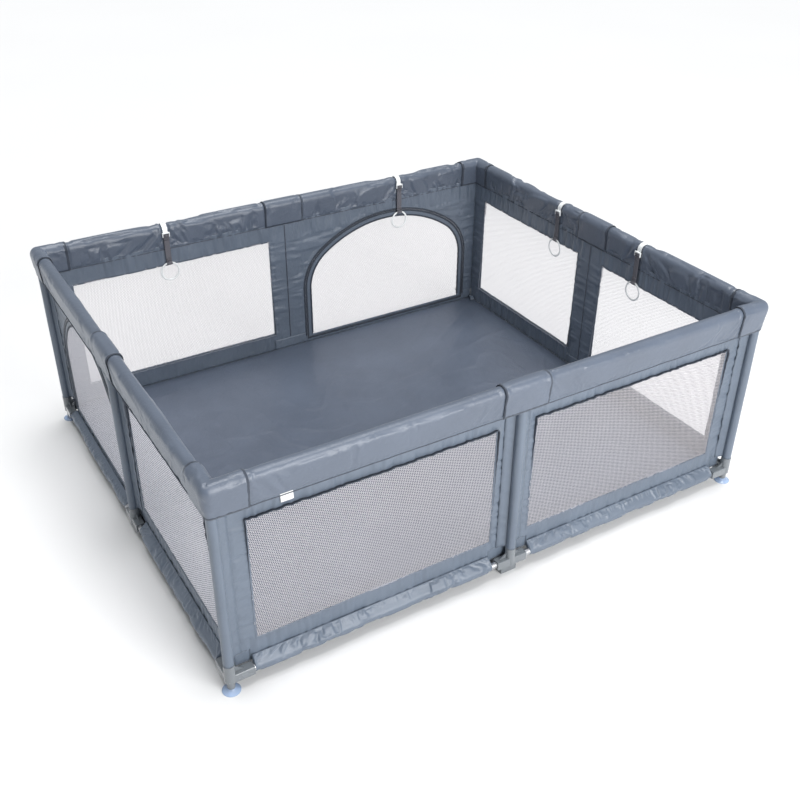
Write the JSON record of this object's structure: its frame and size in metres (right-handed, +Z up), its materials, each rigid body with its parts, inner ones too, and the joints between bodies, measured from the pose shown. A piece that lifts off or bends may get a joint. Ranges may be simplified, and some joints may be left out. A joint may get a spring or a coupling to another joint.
{
  "type": "playpen",
  "caption": "Rectangular fabric playpen: padded top rail on a tube frame, see-through mesh windows, arched zip doors and hanging pull-up rings.",
  "frame": {"origin": "on the floor under the centre of the pen", "axes": "+X along the long side, +Y from the front wall to the back wall, +Z up"},
  "size_m": [1.79, 1.51, 0.66],
  "materials": {
    "connector_plastic": "satin light grey moulding",
    "suction_cup": "translucent pale blue",
    "steel_tube": "plain tube, hidden under the fabric",
    "fabric": "slate blue woven polyester with a satin sheen",
    "mesh": "pale see-through mesh",
    "zip_tape": "dark zip tape and binding",
    "webbing": "dark grey ribbed webbing",
    "white_plastic": "glossy white",
    "zip_metal": "dark painted",
    "label": "plain white tape, blank"
  },
  "bodies": {
    "frame": {"bottom_corner_connector_back_left": "connector_plastic", "bottom_corner_connector_back_right": "connector_plastic", "bottom_corner_connector_front_left": "connector_plastic", "bottom_corner_connector_front_right": "connector_plastic", "bottom_rail_sleeves": "fabric", "bottom_rail_tubes": "steel_tube", "bottom_tee_connector_back": "connector_plastic", "bottom_tee_connector_front": "connector_plastic", "bottom_tee_connector_left": "connector_plastic", "bottom_tee_connector_right": "connector_plastic", "care_label": "label", "corner_covers": "fabric", "corner_post_back_left": "steel_tube", "corner_post_back_right": "steel_tube", "corner_post_front_left": "steel_tube", "corner_post_front_right": "steel_tube", "floor_fabric": "fabric", "middle_covers": "fabric", "middle_post_back": "steel_tube", "middle_post_front": "steel_tube", "middle_post_left": "steel_tube", "middle_post_right": "steel_tube", "post_sleeves": "fabric", "rail_pad_back": "fabric", "rail_pad_front": "fabric", "rail_pad_left": "fabric", "rail_pad_right": "fabric", "ring_clips": "white_plastic", "suction_cup_back_left": "suction_cup", "suction_cup_back_right": "suction_cup", "suction_cup_front_left": "suction_cup", "suction_cup_front_right": "suction_cup", "top_corner_connectors": "connector_plastic", "top_rail_tubes": "steel_tube", "top_tee_connectors": "connector_plastic", "wall_fabric_back": "fabric", "wall_fabric_front": "fabric", "wall_fabric_left": "fabric", "wall_fabric_right": "fabric", "window_mesh": "mesh"},
    "door_back": {"door_border_back": "zip_tape", "door_mesh_back": "mesh"},
    "zip_slider_back": {"zip_slider_back": "zip_metal"},
    "zip_pull_back": {"zip_pull_back": "zip_metal"},
    "door_left": {"door_border_left": "zip_tape", "door_mesh_left": "mesh"},
    "zip_slider_left": {"zip_slider_left": "zip_metal"},
    "zip_pull_left": {"zip_pull_left": "zip_metal"},
    "ring_strap_1": {"ring_strap_1": "webbing"},
    "pull_ring_1": {"pull_ring_1": "white_plastic"},
    "ring_strap_2": {"ring_strap_2": "webbing"},
    "pull_ring_2": {"pull_ring_2": "white_plastic"},
    "ring_strap_3": {"ring_strap_3": "webbing"},
    "pull_ring_3": {"pull_ring_3": "white_plastic"},
    "ring_strap_4": {"ring_strap_4": "webbing"},
    "pull_ring_4": {"pull_ring_4": "white_plastic"},
    "cover_flap_front": {"cover_flap_front": "fabric"},
    "cover_flap_right": {"cover_flap_right": "fabric"},
    "cover_flap_back": {"cover_flap_back": "fabric"},
    "cover_flap_left": {"cover_flap_left": "fabric"}
  },
  "joints": [
    {"name": "door_back_fold", "type": "hinge", "parent": "frame", "child": "door_back", "pos_m": [0.438, 0.7145, 0.0725], "axis": [-1, 0, 0], "range_deg": [0, 95]},
    {"name": "zip_slider_back_slide", "type": "slide", "parent": "frame", "child": "zip_slider_back", "axis": [0, 0, 1], "range_m": [0, 0.17]},
    {"name": "zip_pull_back_swing", "type": "hinge", "parent": "zip_slider_back", "child": "zip_pull_back", "pos_m": [0.8095, 0.7214, 0.1028], "axis": [1, 0, 0], "range_deg": [0, 150]},
    {"name": "door_left_fold", "type": "hinge", "parent": "frame", "child": "door_left", "pos_m": [-0.8545, 0.368, 0.0725], "axis": [0, -1, 0], "range_deg": [0, 95]},
    {"name": "zip_slider_left_slide", "type": "slide", "parent": "frame", "child": "zip_slider_left", "axis": [0, 0, 1], "range_m": [0, 0.17]},
    {"name": "zip_pull_left_swing", "type": "hinge", "parent": "zip_slider_left", "child": "zip_pull_left", "pos_m": [-0.8614, 0.6695, 0.1028], "axis": [0, 1, 0], "range_deg": [0, 150]},
    {"name": "ring_strap_1_swing", "type": "hinge", "parent": "frame", "child": "ring_strap_1", "pos_m": [-0.447, 0.7045, 0.62], "axis": [-1, 0, 0], "range_deg": [0, 100]},
    {"name": "pull_ring_1_swing", "type": "hinge", "parent": "ring_strap_1", "child": "pull_ring_1", "pos_m": [-0.447, 0.7045, 0.517], "axis": [-1, 0, 0], "range_deg": [-4, 150]},
    {"name": "ring_strap_2_swing", "type": "hinge", "parent": "frame", "child": "ring_strap_2", "pos_m": [0.487, 0.7045, 0.62], "axis": [-1, 0, 0], "range_deg": [0, 100]},
    {"name": "pull_ring_2_swing", "type": "hinge", "parent": "ring_strap_2", "child": "pull_ring_2", "pos_m": [0.487, 0.7045, 0.517], "axis": [-1, 0, 0], "range_deg": [-4, 150]},
    {"name": "ring_strap_3_swing", "type": "hinge", "parent": "frame", "child": "ring_strap_3", "pos_m": [0.8445, 0.185, 0.62], "axis": [0, 1, 0], "range_deg": [0, 100]},
    {"name": "pull_ring_3_swing", "type": "hinge", "parent": "ring_strap_3", "child": "pull_ring_3", "pos_m": [0.8445, 0.185, 0.517], "axis": [0, 1, 0], "range_deg": [-4, 150]},
    {"name": "ring_strap_4_swing", "type": "hinge", "parent": "frame", "child": "ring_strap_4", "pos_m": [0.8445, -0.235, 0.62], "axis": [0, 1, 0], "range_deg": [0, 100]},
    {"name": "pull_ring_4_swing", "type": "hinge", "parent": "ring_strap_4", "child": "pull_ring_4", "pos_m": [0.8445, -0.235, 0.517], "axis": [0, 1, 0], "range_deg": [-4, 150]},
    {"name": "cover_flap_front_lift", "type": "hinge", "parent": "frame", "child": "cover_flap_front", "pos_m": [0, -0.7537, 0.633], "axis": [-1, 0, 0], "range_deg": [0, 100]},
    {"name": "cover_flap_right_lift", "type": "hinge", "parent": "frame", "child": "cover_flap_right", "pos_m": [0.8937, 0, 0.633], "axis": [0, -1, 0], "range_deg": [0, 100]},
    {"name": "cover_flap_back_lift", "type": "hinge", "parent": "frame", "child": "cover_flap_back", "pos_m": [0, 0.7537, 0.633], "axis": [1, 0, 0], "range_deg": [0, 100]},
    {"name": "cover_flap_left_lift", "type": "hinge", "parent": "frame", "child": "cover_flap_left", "pos_m": [-0.8937, 0, 0.633], "axis": [0, 1, 0], "range_deg": [0, 100]}
  ]
}
